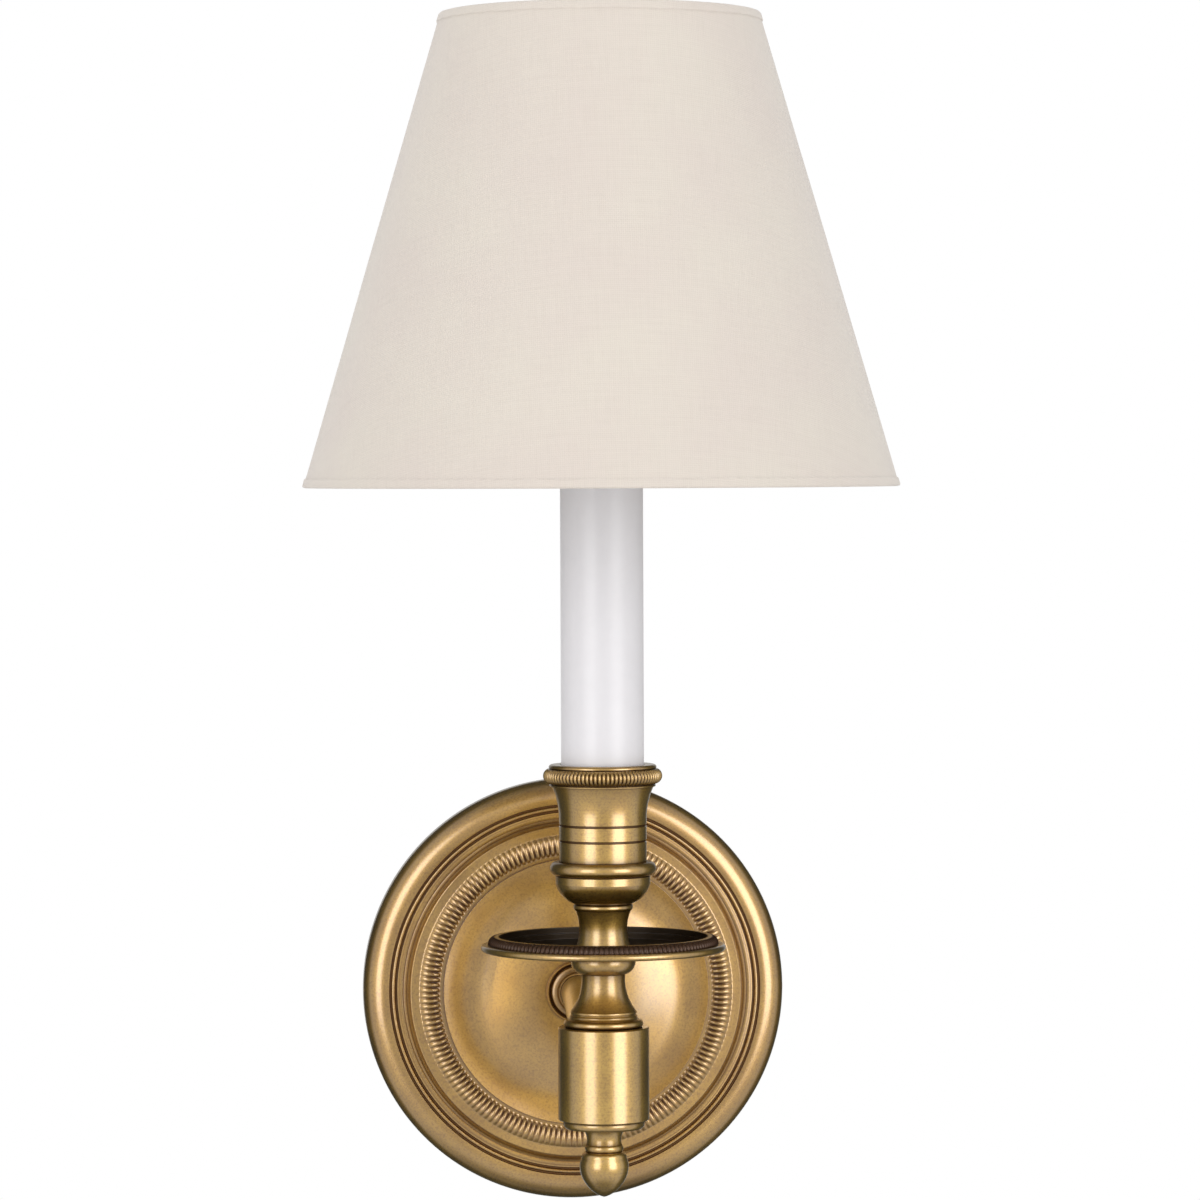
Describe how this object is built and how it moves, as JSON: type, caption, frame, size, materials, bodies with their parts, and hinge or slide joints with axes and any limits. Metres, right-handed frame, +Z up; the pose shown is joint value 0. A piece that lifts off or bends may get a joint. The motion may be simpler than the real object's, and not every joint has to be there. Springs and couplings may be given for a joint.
{
  "type": "wall light",
  "caption": "Wall sconce: round stepped backplate, short arm, turned brass column with drip pan and finial, white candle sleeve, and a tapered linen shade clipped to its bulb.",
  "frame": {"origin": "middle of the backplate in the plane of the wall", "axes": "+Z up, +X to the right seen from the room, -Y out from the wall into the room"},
  "size_m": [0.1692, 0.1846, 0.3488],
  "materials": {
    "antique_brass": "aged brass, brushed, darker in the grooves",
    "zinc_steel": "bright zinc plate",
    "green_screw": "green finish",
    "candle_white": "glossy off-white",
    "lamp_brass": "bright, thin sheet",
    "holder_resin": "moulded, matt",
    "lead_black": "insulated wire, satin",
    "lead_white": "insulated wire, satin",
    "solder": "dull",
    "black_glass": "fused, glossy",
    "clear_glass": "clear, polished",
    "tungsten": "drawn wire",
    "clip_brass": "plated wire, satin",
    "shade_lining": "matt white film",
    "shade_linen": "off-white linen, plain weave"
  },
  "bodies": {
    "wall_frame": {"backplate": "antique_brass", "arm_tube": "antique_brass", "arm_rosette": "antique_brass", "stem_body": "antique_brass", "body_cap": "antique_brass", "finial": "antique_brass", "neck": "antique_brass", "pan_collar": "antique_brass", "drip_pan": "antique_brass", "upper_stem": "antique_brass", "cup_bowl": "antique_brass", "candle_cup": "antique_brass", "mounting_bracket": "zinc_steel", "ground_screw": "green_screw", "plate_set_screws": "antique_brass", "arm_lock_washer": "zinc_steel", "arm_locknut": "zinc_steel", "centre_rod": "zinc_steel", "body_lock_washer": "zinc_steel", "body_nut": "zinc_steel", "cup_lock_washer": "zinc_steel", "cup_nut": "zinc_steel", "holder_nut": "zinc_steel", "candle_sleeve": "candle_white", "holder_strap": "zinc_steel", "holder_rivet": "lamp_brass", "holder_body": "holder_resin", "holder_shell": "lamp_brass", "holder_contact": "lamp_brass", "live_lead": "lead_black", "neutral_lead": "lead_white"},
    "bulb_riser": {"bulb_contact": "solder"},
    "bulb": {"bulb_insulator": "black_glass", "bulb_cap": "lamp_brass", "bulb_glass": "clear_glass", "bulb_mount": "clear_glass", "bulb_filament": "tungsten"},
    "shade": {"bulb_clip": "clip_brass", "clip_rivet": "clip_brass", "shade_spider": "clip_brass", "shade_top_ring": "clip_brass", "shade_bottom_ring": "clip_brass", "shade_liner": "shade_lining", "shade_fabric": "shade_linen"}
  },
  "joints": [
    {"name": "bulb_rise", "type": "slide", "parent": "wall_frame", "child": "bulb_riser", "axis": [0, 0, 1], "range_m": [0, 0.01016]},
    {"name": "bulb_turn", "type": "hinge", "parent": "bulb_riser", "child": "bulb", "pos_m": [0, -0.1, 0.15], "axis": [0, 0, 1], "range_deg": [0, 1440]},
    {"name": "shade_turn", "type": "hinge", "parent": "bulb", "child": "shade", "pos_m": [0, -0.1, 0.19], "axis": [0, 0, 1], "continuous": true}
  ],
  "couplings": [
    {"joint": "bulb_turn", "follows": "bulb_rise", "rad_per_m": 2473.7}
  ]
}
